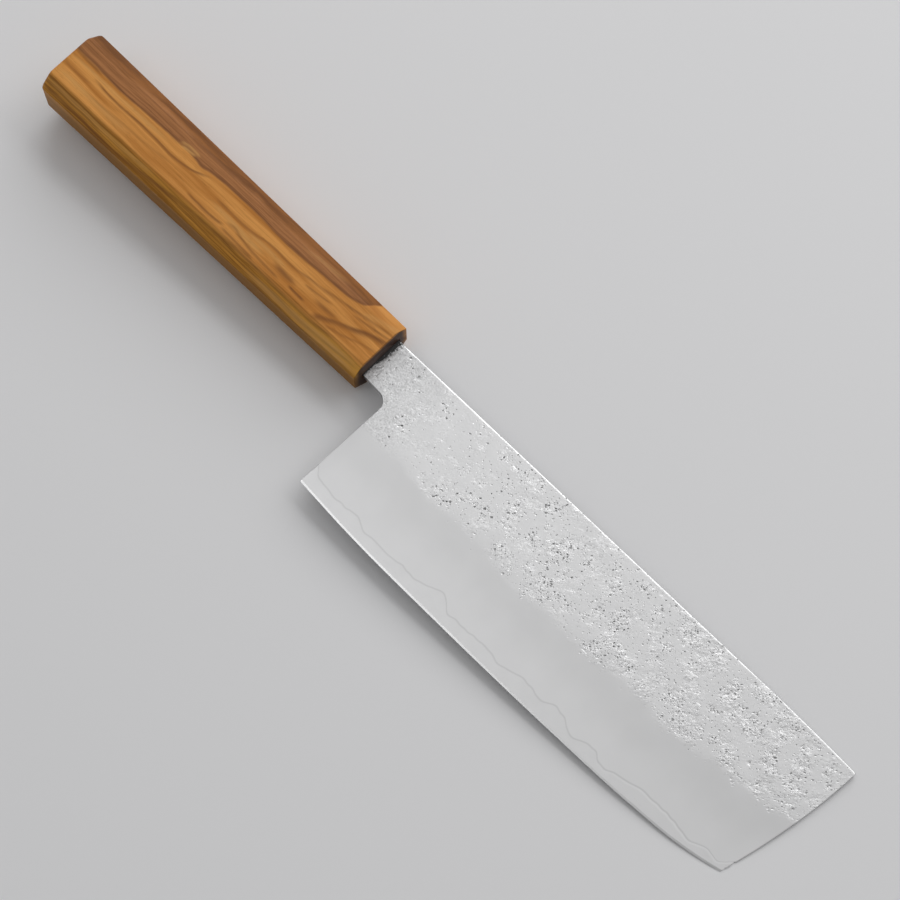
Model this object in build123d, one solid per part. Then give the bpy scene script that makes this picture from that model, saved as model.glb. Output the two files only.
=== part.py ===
# Nakiri: a Japanese vegetable knife with a straight edge, a three-layer blade and an octagonal wooden handle.
# Lengths are in millimetres and angles in degrees.
# The pieces are drawn in the knife's own axes: X runs from the handle's front face to the tip, Y from the
# edge to the spine and Z through the blade, with Z = 0 on the blade's middle plane.
# At the end the knife is laid down on its left side, as it really lies on a table.
from build123d import *
import math
import os

# Handle: one octagonal piece of olive wood, thicker at the butt
handle_length = 135.0
butt_height = 25.0
butt_thickness = 20.0
front_height = 22.0
front_thickness = 17.2
bevel_height = 4.4  # how far each long bevel comes in from the spine side and the edge side
bevel_thickness = 4.0  # how far each long bevel comes in from the two broad sides
arris_radius = 0.5
butt_radius = 1.1
front_radius = 0.3

# Blade outline
edge_length = 165.0
heel_height = 51.1
neck_length = 10.0  # handle to heel corner
spine_offset = 7.7  # the spine above the handle's axis
belly_depth = 2.0
tip_rise = 3.1
tip_lean = 8.7
tip_bow = 1.4
spine_drop = 0.8  # the spine falls this much towards the tip
spine_drop_length = 36.0
heel_lean = 1.2
neck_height = 15.2
neck_flare = 0.6  # the neck's underside falls this much towards the heel
neck_corner_radius = 3.9
tip_corner_radius = 0.8

# Blade thickness and grind
neck_thickness = 2.3
tip_thickness = 1.3
spine_radius = 0.25
grind_height = 26.0
grind_angle = 1.1  # between the flat and the ground face where they meet
sharpened_height = 0.6
sharpened_thickness = 0.32
core_share = 0.22  # of the blade's thickness
weld_height = 5.0

# Tang and its seat
tang_length = 95.0
tang_root_height = 9.4
tang_end_height = 6.0
tang_end_thickness = 1.7
tang_corner_radius = 1.2
tang_gap = 0.35  # filled with adhesive all round
shoulder_depth = 20.0  # how far the full-height neck goes into the handle
bore_diameter = 11.2
bore_depth = 104.0
dowel_gap = 0.1
dowel_end_gap = 1.0
mouth_recess = 0.5  # the adhesive stops this far inside the handle's face

overrun = 3.0  # how far a cutter runs past what it cuts

# Places along the edge as shares of its length, each with its share of the belly and of the rise to the tip
EDGE_SHARES = (
    (-0.06, -0.40, 0.0),
    (0.00, 0.00, 0.0),
    (0.12, 0.65, 0.0),
    (0.36, 1.00, 0.0),
    (0.62, 0.92, 0.01),
    (0.81, 0.60, 0.08),
    (0.92, 0.26, 0.33),
    (1.00, 0.00, 1.0),
    (1.06, -0.20, 1.9),
)
# The weld between the core and the side layers wanders: place along the edge, height above it
WELD_SHARES = (
    (-0.06, 1.40),
    (0.01, 1.14),
    (0.05, 0.84),
    (0.12, 1.10),
    (0.15, 0.82),
    (0.28, 0.94),
    (0.33, 1.50),
    (0.36, 1.00),
    (0.45, 0.92),
    (0.53, 1.06),
    (0.61, 0.90),
    (0.70, 1.08),
    (0.79, 0.98),
    (0.86, 1.02),
    (0.92, 0.62),
    (0.96, 0.86),
    (1.00, 0.66),
    (1.06, 0.80),
)

# Places that several pieces share
heel_y = spine_offset - heel_height
tip_bottom = (neck_length + edge_length, heel_y + tip_rise)
tip_top = (tip_bottom[0] + tip_lean, spine_offset - spine_drop)
neck_bottom_y = spine_offset - neck_height
neck_middle_y = spine_offset - neck_height / 2
stock_y = heel_y - belly_depth - overrun  # the forging before grinding reaches down to here


def edge_point(share, belly_share, rise_share):
    """A point of the cutting edge, as X and Y."""
    x = neck_length + share * edge_length
    return x, heel_y - belly_share * belly_depth + rise_share * tip_rise


def blade_thickness(x):
    """The thickness of the flats, which taper evenly from the handle to the tip."""
    return neck_thickness + (tip_thickness - neck_thickness) * x / tip_top[0]


def tapered_slab(butt, front, plane):
    """A slab that narrows evenly from the butt to the front, seen square to the given plane."""
    profile = Polyline(
        (-handle_length, butt / 2), (0, front / 2), (0, -front / 2), (-handle_length, -butt / 2), close=True
    )
    return extrude(plane * make_face(profile), butt_height, both=True)


def long_edges(edges):
    """The edges that run the handle's whole length."""
    return edges.filter_by(lambda edge: edge.bounding_box().size.X > handle_length / 2)


def make_handle():
    """The handle before it is bored: a tapered block, bevelled to eight sides and then softened."""
    body = tapered_slab(butt_height, front_height, Plane.XY) & tapered_slab(butt_thickness, front_thickness, Plane.XZ)
    for place in (0, -1):
        broad_side = body.faces().sort_by(Axis.Z)[place]
        body = chamfer(long_edges(broad_side.edges()), bevel_height, bevel_thickness, reference=broad_side)
    body = fillet(long_edges(body.edges()), arris_radius)
    body = fillet(body.faces().sort_by(Axis.X)[0].edges(), butt_radius)
    return fillet(body.faces().sort_by(Axis.X)[-1].edges(), front_radius)


def mouth_slot(depth):
    """The slot in the handle's face that takes the full-height neck."""
    height = neck_height + 2 * tang_gap
    width = neck_thickness + 2 * tang_gap
    slot = Box(depth + overrun, height, width, align=(Align.MAX, Align.CENTER, Align.CENTER))
    return Pos(overrun, neck_middle_y, 0) * slot


def handle_cavity():
    """All that is bored and cut out of the handle: a blind round bore and the mouth slot."""
    bore = Plane.YZ.offset(-bore_depth) * Cylinder(
        bore_diameter / 2, bore_depth + overrun, align=(Align.CENTER, Align.CENTER, Align.MIN)
    )
    return bore + mouth_slot(shoulder_depth + tang_gap)


def tang_outline(gap):
    """The tapered tang behind the neck, grown by a gap all round: the slot in the dowel is the same shape."""
    root = tang_root_height / 2 + gap
    end = tang_end_height / 2 + gap
    start_x = -shoulder_depth + overrun
    end_x = -tang_length - gap
    points = [(start_x, root), (end_x, end), (end_x, -end), (start_x, -root)]
    shape = make_face(Polyline(*points, close=True))
    return fillet(shape.vertices().group_by(Axis.X)[0], tang_corner_radius)


def dowel_slot():
    """The slot sawn into the dowel, a gap wider all round than the tang."""
    return extrude(tang_outline(tang_gap), neck_thickness / 2 + tang_gap, both=True)


def make_dowel():
    """The hardwood dowel that fills the bore and grips the tang."""
    radius = bore_diameter / 2 - dowel_gap
    length = bore_depth - dowel_end_gap
    dowel = Plane.YZ.offset(-length) * Cylinder(radius, length, align=(Align.CENTER, Align.CENTER, Align.MIN))
    return dowel - dowel_slot() - mouth_slot(shoulder_depth + tang_gap)


def blade_outline():
    """The side view of the whole forging: blade, neck and tang, with stock left below the edge."""
    heel_top = (neck_length + heel_lean, neck_bottom_y - neck_flare)
    lean = heel_lean / (heel_top[1] - heel_y)
    stock_x = neck_length - lean * (heel_y - stock_y)
    tip_middle = (
        tip_bottom[0] + tip_lean / 2 + tip_bow,
        (tip_bottom[1] + tip_top[1]) / 2,
    )
    drop_start = (tip_top[0] - spine_drop_length, spine_offset)
    outline = (
        Line((-shoulder_depth, spine_offset), drop_start)
        + TangentArc(drop_start, tip_top, tangent=(1, 0))
        + ThreePointArc(tip_top, tip_middle, tip_bottom)
        + Line(tip_bottom, (tip_bottom[0], stock_y))
        + Line((tip_bottom[0], stock_y), (stock_x, stock_y))
        + Line((stock_x, stock_y), heel_top)
        + Line(heel_top, (0, neck_bottom_y))
        + Line((0, neck_bottom_y), (-shoulder_depth, neck_bottom_y))
        + Line((-shoulder_depth, neck_bottom_y), (-shoulder_depth, spine_offset))
    )
    shape = make_face(outline)
    inner = shape.vertices().sort_by_distance(heel_top)[0]
    shape = fillet(inner, neck_corner_radius)
    top = shape.vertices().sort_by_distance(tip_top)[0]
    shape = fillet(top, tip_corner_radius)
    return shape + tang_outline(0)


def stock_wedge(share):
    """A share of the stock's thickness, seen from the spine: thickest at the handle, thinner towards both ends."""
    tip_x = tip_top[0] + overrun
    end_x = -tang_length - overrun
    half = [
        (end_x, share * tang_end_thickness / 2),
        (0, share * neck_thickness / 2),
        (tip_x, share * blade_thickness(tip_x) / 2),
    ]
    points = half + [(x, -z) for x, z in reversed(half)]
    profile = Plane.XZ * make_face(Polyline(*points, close=True))
    return extrude(profile, heel_height + spine_offset, both=True)


def grinding_wheel(side):
    """What the stones take off one side: the convex face that runs down to the sharpened strip at the edge."""
    slope = math.tan(math.radians(grind_angle))
    sections = []
    for shares in EDGE_SHARES:
        x, y = edge_point(*shares)
        flat = blade_thickness(x) / 2
        start = (y + sharpened_height, side * sharpened_thickness / 2)
        past = (y - sharpened_height, -start[1])
        meet = (y + grind_height, side * flat)
        above = (meet[0] + overrun, side * (flat + slope * overrun))
        clear = side * neck_thickness
        section = (
            Line(past, start)
            + ThreePointArc(start, meet, above)
            + Line(above, (above[0], clear))
            + Line((above[0], clear), (stock_y - overrun, clear))
            + Line((stock_y - overrun, clear), (stock_y - overrun, past[1]))
            + Line((stock_y - overrun, past[1]), past)
        )
        sections.append(Plane.YZ.offset(x) * make_face(section))
    return loft(sections)


def make_blade():
    """The whole forging, ground and sharpened, before it is thought of as three layers."""
    blade = extrude(blade_outline(), neck_thickness, both=True) & stock_wedge(1)
    spine = blade.faces().filter_by(Axis.Y).sort_by(Axis.Y)[-1]
    blade = fillet(spine.edges().filter_by(lambda edge: edge.bounding_box().size.X > overrun), spine_radius)
    for side in (1, -1):
        blade -= grinding_wheel(side)
    return blade


def above_weld():
    """All of the blade that lies above the wandering weld line, with the neck and the tang."""
    line = []
    for edge, (_, height_share) in zip(edge_below_weld(), WELD_SHARES):
        line.append((edge[0], edge[1] + height_share * weld_height))
    top = spine_offset + overrun
    end_x = -tang_length - overrun
    outline = (
        Spline(*line)
        + Line(line[-1], (line[-1][0], top))
        + Line((line[-1][0], top), (end_x, top))
        + Line((end_x, top), (end_x, line[0][1]))
        + Line((end_x, line[0][1]), line[0])
    )
    return extrude(make_face(outline), neck_thickness, both=True)


def edge_below_weld():
    """The edge's own height under each point of the weld line, read between the edge's points."""
    places = []
    for share, _ in WELD_SHARES:
        for low, high in zip(EDGE_SHARES, EDGE_SHARES[1:]):
            if low[0] <= share <= high[0]:
                part = (share - low[0]) / (high[0] - low[0])
                mixed = [a + (b - a) * part for a, b in zip(low, high)]
                places.append(edge_point(*mixed))
                break
    return places


def rest_location():
    """Turns the knife onto its left side: it rests on a front corner of the handle and on the tip's ground face."""
    handle_corner = Vector(0, bevel_height - front_height / 2, -front_thickness / 2)
    edge_corner = Vector(tip_bottom[0], tip_bottom[1] + sharpened_height, -sharpened_thickness / 2)
    height_share = grind_height / (tip_top[1] - tip_bottom[1])
    bow_share = 4 * height_share * (1 - height_share)
    ridge_x = tip_bottom[0] + height_share * tip_lean + bow_share * tip_bow
    ridge_corner = Vector(ridge_x, tip_bottom[1] + grind_height, -blade_thickness(ridge_x) / 2)
    up = (edge_corner - handle_corner).cross(ridge_corner - handle_corner).normalized()
    forward = Vector(1, 0, 0)
    table = Plane(origin=handle_corner, x_dir=forward - up * forward.dot(up), z_dir=up)
    return table.location.inverse()


def make_pieces():
    """Every separate piece under its name, in the knife's own axes."""
    blade = make_blade()
    side_layers = (blade & above_weld()) - stock_wedge(core_share)
    core = blade - side_layers
    left_layer, right_layer = side_layers.solids().sort_by(Axis.Z)
    cavity = handle_cavity()
    dowel = make_dowel()
    adhesive = cavity - dowel - blade
    mouth = Box(overrun + mouth_recess, butt_height, butt_thickness, align=(Align.MIN, Align.CENTER, Align.CENTER))
    adhesive -= Pos(-mouth_recess, 0, 0) * mouth
    return {
        "core_steel": core,
        "side_layer_right": right_layer,
        "side_layer_left": left_layer,
        "handle_body": make_handle() - cavity,
        "tang_dowel": dowel,
        "tang_adhesive": adhesive,
    }


os.makedirs("parts", exist_ok=True)
laid = {name: rest_location() * piece for name, piece in make_pieces().items()}
box = Compound(list(laid.values())).bounding_box()
to_origin = Pos(-box.center().X, -box.center().Y, -box.min.Z)
for name, piece in laid.items():
    placed = to_origin * piece
    print(name, "solids", len(placed.solids()), "volume", round(placed.volume, 1))
    export_step(placed, f"parts/{name}.step")
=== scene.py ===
import math

import bpy
import numpy as np
from mathutils import Matrix, Vector


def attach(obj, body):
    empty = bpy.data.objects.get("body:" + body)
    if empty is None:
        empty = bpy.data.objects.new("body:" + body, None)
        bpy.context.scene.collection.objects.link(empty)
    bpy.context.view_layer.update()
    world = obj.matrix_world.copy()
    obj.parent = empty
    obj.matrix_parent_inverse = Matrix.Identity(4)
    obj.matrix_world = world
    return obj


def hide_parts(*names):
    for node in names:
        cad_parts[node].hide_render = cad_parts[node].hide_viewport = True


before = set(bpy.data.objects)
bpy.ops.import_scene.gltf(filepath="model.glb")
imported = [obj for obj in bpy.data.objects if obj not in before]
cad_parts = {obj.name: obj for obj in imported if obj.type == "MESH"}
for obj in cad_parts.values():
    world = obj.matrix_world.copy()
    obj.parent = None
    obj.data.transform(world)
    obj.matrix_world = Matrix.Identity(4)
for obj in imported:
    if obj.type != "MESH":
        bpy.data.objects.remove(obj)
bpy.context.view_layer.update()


# Core steel: the hard middle layer of the forging. It runs from the tang's end to the tip, and shows as the pale
# band along the edge, where the softer side layers are ground away. The edge itself is honed to a plain bevel.

# The knife is drawn in its own axes in millimetres, X from the handle's face to the tip, Y from the edge to the
# spine and Z out of the right side, and is then laid on the table.
handle_face_place = Vector((-0.0241187, 0.0164180, 0.0087997))
nose_down = math.radians(2.4366)
roll_over = math.radians(1.7135)
to_table = (
    Matrix.Translation(handle_face_place)
    @ Matrix.Rotation(nose_down, 4, "Y")
    @ Matrix.Rotation(roll_over, 4, "X")
    @ Matrix.Scale(0.001, 4)
)

edge_length = 165.0
neck_length = 10.0
heel_y = -43.4
spine_y = 7.7
belly_depth = 2.0
tip_rise = 3.1
tip_lean = 8.68
tip_bow = 1.4
spine_drop = 0.8
spine_drop_length = 36.0
heel_lean = 1.2
neck_bottom_y = -7.5
neck_flare = 0.6
neck_corner_radius = 3.9
tip_corner_radius = 0.8
neck_thickness = 2.3
tip_thickness = 1.3
tang_length = 95.0
tang_root_height = 9.4
tang_end_height = 6.0
tang_end_thickness = 1.7
shoulder_depth = 20.0
grind_height = 26.0
grind_slope = math.tan(math.radians(1.1))
grind_runout = 3.0
honed_height = 0.6
honed_thickness = 0.32
core_share = 0.22
spine_radius = 0.16
spine_ease_width = 0.7
spine_ease = 0.25
corner_radius = 0.1
corner_gap = 0.01
weld_step = 0.002
closing_gap = 0.001

# Points of the lines that the photo's blade has: how full the belly is and how far the edge has risen
# at each share of its length, and the height of the weld at each X.
belly_shares = (
    (-0.06, -0.40), (0, 0), (0.12, 0.65), (0.36, 1), (0.62, 0.92), (0.81, 0.60), (0.92, 0.26), (1, 0), (1.06, -0.2),
)
rise_shares = ((-0.06, 0), (0, 0), (0.36, 0), (0.62, 0.01), (0.81, 0.08), (0.92, 0.33), (1, 1), (1.06, 1.9))
weld_points = (
    (0, -36.0), (10, -36.2), (11.2, -37.2), (12.5, -38.6), (15, -39.1), (17.5, -39.3), (20, -39.9), (23, -39.7),
    (26, -39.8), (29, -39.3), (32, -40.2), (34.5, -41.2), (37, -40.9), (41, -41.1), (45, -41.0), (50, -40.6),
    (53, -40.7), (56, -40.6), (58.5, -39.9), (61, -38.9), (64, -38.0), (66.3, -39.2), (68.5, -41.1), (72, -41.0),
    (76, -41.3), (80, -40.9), (86, -40.8), (89, -42.0), (92, -41.0), (95, -40.3), (98, -39.8), (102, -40.0),
    (105, -40.9), (107.5, -40.1), (110, -38.9), (112, -39.3), (114, -39.6), (116, -41.0), (119, -42.0), (122, -40.9),
    (125, -40.4), (127, -40.5), (129, -41.7), (132, -42.0), (135, -41.2), (138, -40.3), (141, -39.7), (145, -39.0),
    (152, -38.9), (158, -39.5), (163, -39.9), (165.5, -38.8), (168, -38.0), (170.5, -38.4), (172.5, -38.6),
    (174.2, -37.4), (176, -35.6), (190, -35.0),
)
weld_waves = ((0.15, 1.9, 2, 7.3), (0.10, 0.83, 3, 4.1))

tip_bottom = Vector((neck_length + edge_length, heel_y + tip_rise))
tip_top = Vector((tip_bottom.x + tip_lean, spine_y - spine_drop))
neck_corner = Vector((neck_length + heel_lean, neck_bottom_y - neck_flare))


def through(points, places):
    """A smooth line through listed points, read at the given places."""
    known, heights = np.array(points, float).T
    slopes = np.gradient(heights, known)
    left = np.clip(np.searchsorted(known, places) - 1, 0, len(known) - 2)
    width = known[left + 1] - known[left]
    part = (places - known[left]) / width
    rest = 1 - part
    return (
        heights[left] * (1 + 2 * part) * rest**2
        + heights[left + 1] * (1 + 2 * rest) * part**2
        + width * part * rest * (slopes[left] * rest - slopes[left + 1] * part)
    )


def edge_line(x):
    """The cutting edge's height at each X."""
    share = (x - neck_length) / edge_length
    return heel_y - belly_depth * through(belly_shares, share) + tip_rise * through(rise_shares, share)


def weld_line(x):
    """The height at which the core comes out from under the side layers, with the small waves of a forged weld."""
    waves = sum(high * np.sin(x / step + sway * np.sin(x / reach)) for high, step, sway, reach in weld_waves)
    return through(weld_points, x) + waves


def spine_line(x):
    """The spine's height at each X: straight, then falling a little to the tip."""
    fall = np.clip((x - tip_top.x + spine_drop_length) / spine_drop_length, 0, None)
    return spine_y - spine_drop * fall**2


def heel_line(y):
    """The slightly leaning heel face."""
    return neck_length + heel_lean * (y - heel_y) / (neck_corner.y - heel_y)


def tip_line(y):
    """The leaning, slightly bowed end of the blade."""
    share = (y - tip_bottom.y) / (tip_top.y - tip_bottom.y)
    return tip_bottom.x + tip_lean * share + 4 * tip_bow * share * (1 - share)


def half_thickness(x):
    """Half the forging's thickness: thickest at the handle, thinner to the tip and to the tang's end."""
    blade = neck_thickness - (neck_thickness - tip_thickness) * x / tip_top.x
    tang = neck_thickness + (neck_thickness - tang_end_thickness) * x / tang_length
    return np.where(x > 0, blade, tang) / 2


def ground_half(x, y):
    """Half the thickness that the convex grind leaves, which runs out into the flat near the middle of the side."""
    flat = half_thickness(x)
    height = y - edge_line(x) - honed_height
    full = grind_height - honed_height
    steep = (flat - honed_thickness / 2) / full
    steeper = (flat + grind_slope * grind_runout - honed_thickness / 2) / (full + grind_runout)
    bend = (steeper - steep) / grind_runout
    ground = honed_thickness / 2 + height * (steep + bend * (height - full))
    honed = honed_thickness / 2 * (1 + height / honed_height)
    return np.where(height > 0, ground, honed)


def neck_span(x):
    """The lowest and highest Y of the neck and the tang, and the middle of the round corner under the neck."""
    along = (neck_corner - Vector((0, neck_bottom_y))).normalized()
    down = Vector((-heel_lean, heel_y - neck_corner.y)).normalized()
    reach = neck_corner_radius / math.tan(along.angle(-down) / 2)
    middle = neck_corner - along * reach + down * neck_corner_radius
    middle.x += corner_gap
    under = neck_bottom_y - neck_flare * np.clip(x, 0, None) / neck_corner.x
    round_part = np.clip(neck_corner_radius**2 - (x - middle.x) ** 2, 0, None)
    under = np.where(x > middle.x, middle.y + np.sqrt(round_part), under)
    tang_share = (-x - shoulder_depth) / (tang_length - shoulder_depth)
    tang_half = (tang_root_height + (tang_end_height - tang_root_height) * tang_share) / 2
    in_tang = x < -shoulder_depth
    return np.where(in_tang, -tang_half, under), np.where(in_tang, tang_half, spine_y), middle


under_neck = neck_span(np.array([0.0]))[2]
under_neck_y = float(under_neck.y)
fine_step = 0.275
column_ends = (0.0, 0.03, 0.1)
tang_places = (-70, -45, -shoulder_depth - 0.2, -shoulder_depth, -12, -5, -1)
corner_turns = np.sin(np.radians(np.linspace(0, 84, 15)))
settling_rounds = 12


def sheet_places(rows, lower_line):
    """Where the points of one side's sheet lie. Each row says how far it has gone from the spine to the lower
    line, and its offset. The columns first cover the tang and the neck, and then run from the heel to the tip.
    Also gives the row that runs under the neck and how many columns the neck has."""
    steps = round((tip_top.x - neck_corner.x) / fine_step)
    ends = [(0, gap) for gap in column_ends]
    middle = [(n / steps, column_ends[-1] * (1 - 2 * n / steps)) for n in range(1, steps)]
    columns = np.array(ends + middle + [(1, -gap) for gap in reversed(column_ends)])
    going = np.array(rows)
    x = np.tile(np.linspace(neck_corner.x, tip_top.x, len(columns)), (len(rows), 1))
    y = np.zeros_like(x)
    for _ in range(settling_rounds):
        y = (1 - going[:, :1]) * spine_line(x) + going[:, :1] * lower_line(x) + going[:, 1:]
        x = (1 - columns[:, 0]) * heel_line(y) + columns[:, 0] * tip_line(y) + columns[:, 1]
    neck_row = int(np.argmin(np.abs(y[:, 0] - under_neck_y)))
    neck_x = np.concatenate((
        [-tang_length, *tang_places],
        np.arange(0, under_neck.x - fine_step / 2, fine_step),
        under_neck.x + neck_corner_radius * corner_turns,
    ))
    low, high, _ = neck_span(neck_x)
    share = (y[:, :1] - y[neck_row, 0]) / (y[-1, 0] - y[neck_row, 0])
    edged = np.where(share > 0, low + corner_radius, low)
    neck_y = np.where(neck_x < -shoulder_depth, low + share * (high - low), np.maximum(y[:, :1], edged))
    pull = np.clip(neck_x / neck_x[-1], 0, 1) ** 2
    neck_x = neck_x + pull * (heel_line(y[:, :1]) - heel_line(y[neck_row, 0]))
    return np.hstack((neck_x, x)), np.hstack((neck_y, y)), neck_row, len(low)


def rounded(gap, radius):
    """How far a rounded corner has dropped at each gap from its border."""
    return radius - np.sqrt(radius**2 - np.clip(radius - gap, 0, radius) ** 2)


def corner_drop(x, y, neck_row, neck_columns):
    """How far the rounded borders of a side drop below its face. The spine is eased a little further in."""
    from_spine = spine_line(x) - y
    drop = rounded(from_spine, spine_radius) + rounded(tip_line(y) - x, corner_radius)
    drop += spine_ease * np.clip(spine_ease_width - from_spine, 0, None) ** 2
    drop[:neck_row, neck_columns:] += rounded(x - heel_line(y), corner_radius)[:neck_row, neck_columns:]
    drop[neck_row, :neck_columns] += corner_radius
    return drop


def turn_tip_corner(x, y):
    """Rounds the corner between the spine and the tip, in the plane of the side."""
    across = np.clip((x - tip_line(y)) / tip_corner_radius + 1, 0, 1)
    along = np.clip((y - spine_line(x)) / tip_corner_radius + 1, 0, 1)
    x = x - tip_corner_radius * across * (1 - np.sqrt(1 - along**2 / 2))
    y = y - tip_corner_radius * along * (1 - np.sqrt(1 - across**2 / 2))
    return x, y


def add_grid(name, x, y, z, readings):
    """Adds a grid and puts its points where they belong. Gives the grid with each point's row and column."""
    bpy.ops.object.select_all(action="DESELECT")
    row_count, column_count = x.shape
    bpy.ops.mesh.primitive_grid_add(x_subdivisions=column_count - 1, y_subdivisions=row_count - 1, size=2)
    piece = bpy.context.object
    piece.name = name
    mesh = piece.data
    mesh.name = name
    start = np.zeros(len(mesh.vertices) * 3)
    mesh.vertices.foreach_get("co", start)
    start = start.reshape(-1, 3)
    column = np.rint((start[:, 0] + 1) / 2 * (column_count - 1)).astype(int)
    row = np.rint((start[:, 1] + 1) / 2 * (row_count - 1)).astype(int)
    places = np.stack((x[row, column], y[row, column], z[row, column]), 1)
    mesh.vertices.foreach_set("co", places.ravel())
    for label, values in readings.items():
        mesh.attributes.new(label, "FLOAT", "POINT").data.foreach_set("value", values[row, column].astype(np.float32))
    return piece, row, column


def sheet_piece(name, x, y, z, neck_row, neck_columns, readings):
    """A side's sheet without the corner under the neck, with walls begun all round it."""
    piece, row, column = add_grid(name, x, y, z, readings)
    mesh = piece.data
    for part in (mesh.polygons, mesh.edges):
        part.foreach_set("select", np.zeros(len(part), bool))
    mesh.vertices.foreach_set("select", (row < neck_row) & (column < neck_columns))
    bpy.ops.object.mode_set(mode="EDIT")
    bpy.ops.mesh.select_mode(type="VERT")
    bpy.ops.mesh.delete(type="VERT")
    bpy.ops.mesh.select_all(action="DESELECT")
    bpy.ops.mesh.select_non_manifold()
    bpy.ops.mesh.extrude_edges_move()
    bpy.ops.object.mode_set(mode="OBJECT")
    return piece


def move_walls(piece, depth):
    """Moves the selected ends of the extruded walls to the depth that a function of X gives."""
    mesh = piece.data
    places = np.zeros(len(mesh.vertices) * 3)
    mesh.vertices.foreach_get("co", places)
    places = places.reshape(-1, 3)
    chosen = np.zeros(len(mesh.vertices), bool)
    mesh.vertices.foreach_get("select", chosen)
    places[chosen, 2] = depth(places[chosen, 0])
    mesh.vertices.foreach_set("co", places.ravel())


def lay_down(piece, smooth_angle):
    """Closes up a finished piece, smooths it and lays it on the table, in metres."""
    bpy.ops.object.mode_set(mode="EDIT")
    bpy.ops.mesh.select_all(action="SELECT")
    bpy.ops.mesh.remove_doubles(threshold=closing_gap)
    bpy.ops.mesh.normals_make_consistent(inside=False)
    bpy.ops.object.mode_set(mode="OBJECT")
    bpy.ops.object.shade_smooth_by_angle(angle=math.radians(smooth_angle))
    piece.matrix_world = to_table
    bpy.ops.object.transform_apply(location=True, rotation=True, scale=True)


# The core's rows from the edge to the spine: the honed strip, the ground face, the step at the weld, and what lies
# hidden between the side layers. The rows of the ground face are then moved to share its height.
strip_rows = [(1, 0), (1, honed_height), (1, 0.8), (1, 1.1), (1, 1.4)]
face_rows = [(1, 3.0)] * 5
hidden_rows = [(0.35, 0), (0, under_neck_y - spine_y), (0, -12), (0, -5), (0, -spine_radius), (0, 0)]
core_x, core_y, core_neck_row, core_neck_columns = sheet_places(strip_rows + face_rows + hidden_rows, edge_line)
weld_y = weld_line(core_x)
face_from, step_row = len(strip_rows) - 1, len(strip_rows + face_rows) - 1
for n in range(face_from, step_row):
    part = (n - face_from) / (step_row - 1 - face_from)
    main = slice(core_neck_columns, None)
    low = core_y[face_from - 1, main]
    core_y[n, main] = low + (weld_y[n, main] - low) * (0.15 + 0.85 * part)
core_y[step_row, core_neck_columns:] = weld_y[step_row, core_neck_columns:] + weld_step
core_z = np.minimum(ground_half(core_x, core_y), half_thickness(core_x))
core_z -= corner_drop(core_x, core_y, core_neck_row, core_neck_columns)
core_z[step_row:] = core_share * half_thickness(core_x[step_row:])
core_z[0] = 0
core_x, core_y = turn_tip_corner(core_x, core_y)
core = sheet_piece(
    "blade_core", core_x, core_y, core_z, core_neck_row, core_neck_columns,
    {"above_weld": core_y - weld_line(core_x), "above_edge": core_y - edge_line(core_x)},
)
move_walls(core, lambda x: 0 * x)
mirror = core.modifiers.new("both sides", "MIRROR")
mirror.use_axis = (False, False, True)
mirror.merge_threshold = closing_gap
bpy.ops.object.modifier_apply(modifier=mirror.name)
lay_down(core, smooth_angle=7)


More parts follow.
